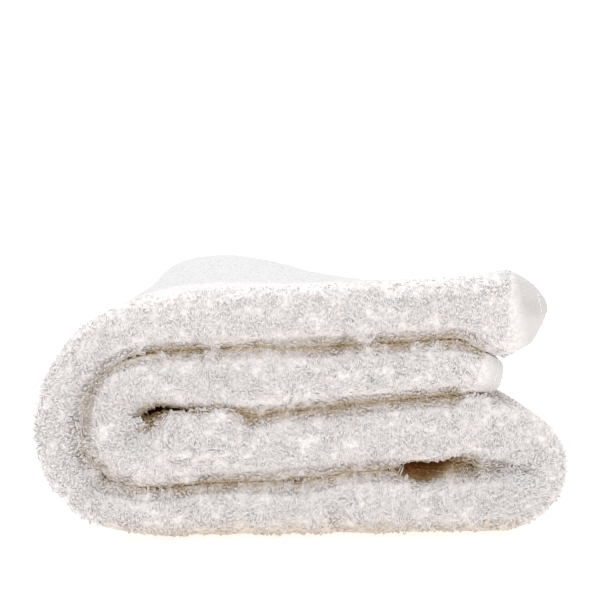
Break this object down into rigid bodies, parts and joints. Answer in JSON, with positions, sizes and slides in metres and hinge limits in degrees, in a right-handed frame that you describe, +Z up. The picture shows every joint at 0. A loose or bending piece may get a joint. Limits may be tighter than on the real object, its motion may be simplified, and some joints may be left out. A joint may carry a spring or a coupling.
{
  "type": "rolled bath towel",
  "caption": "White terry bath towel, folded lengthwise into a thick strip and wound flat, with a plump folded front edge and a flat underside to rest on.",
  "frame": {"origin": "middle of the underside, on the surface that the towel rests on", "axes": "+Z up, +X to the right along the winding's length, +Y away from the side that shows the winding"},
  "size_m": [0.3727, 0.1912, 0.1891],
  "materials": {
    "white_terry": "matt looped cotton terry, undyed white"
  },
  "bodies": {
    "root": {"towel": "white_terry"}
  },
  "joints": []
}
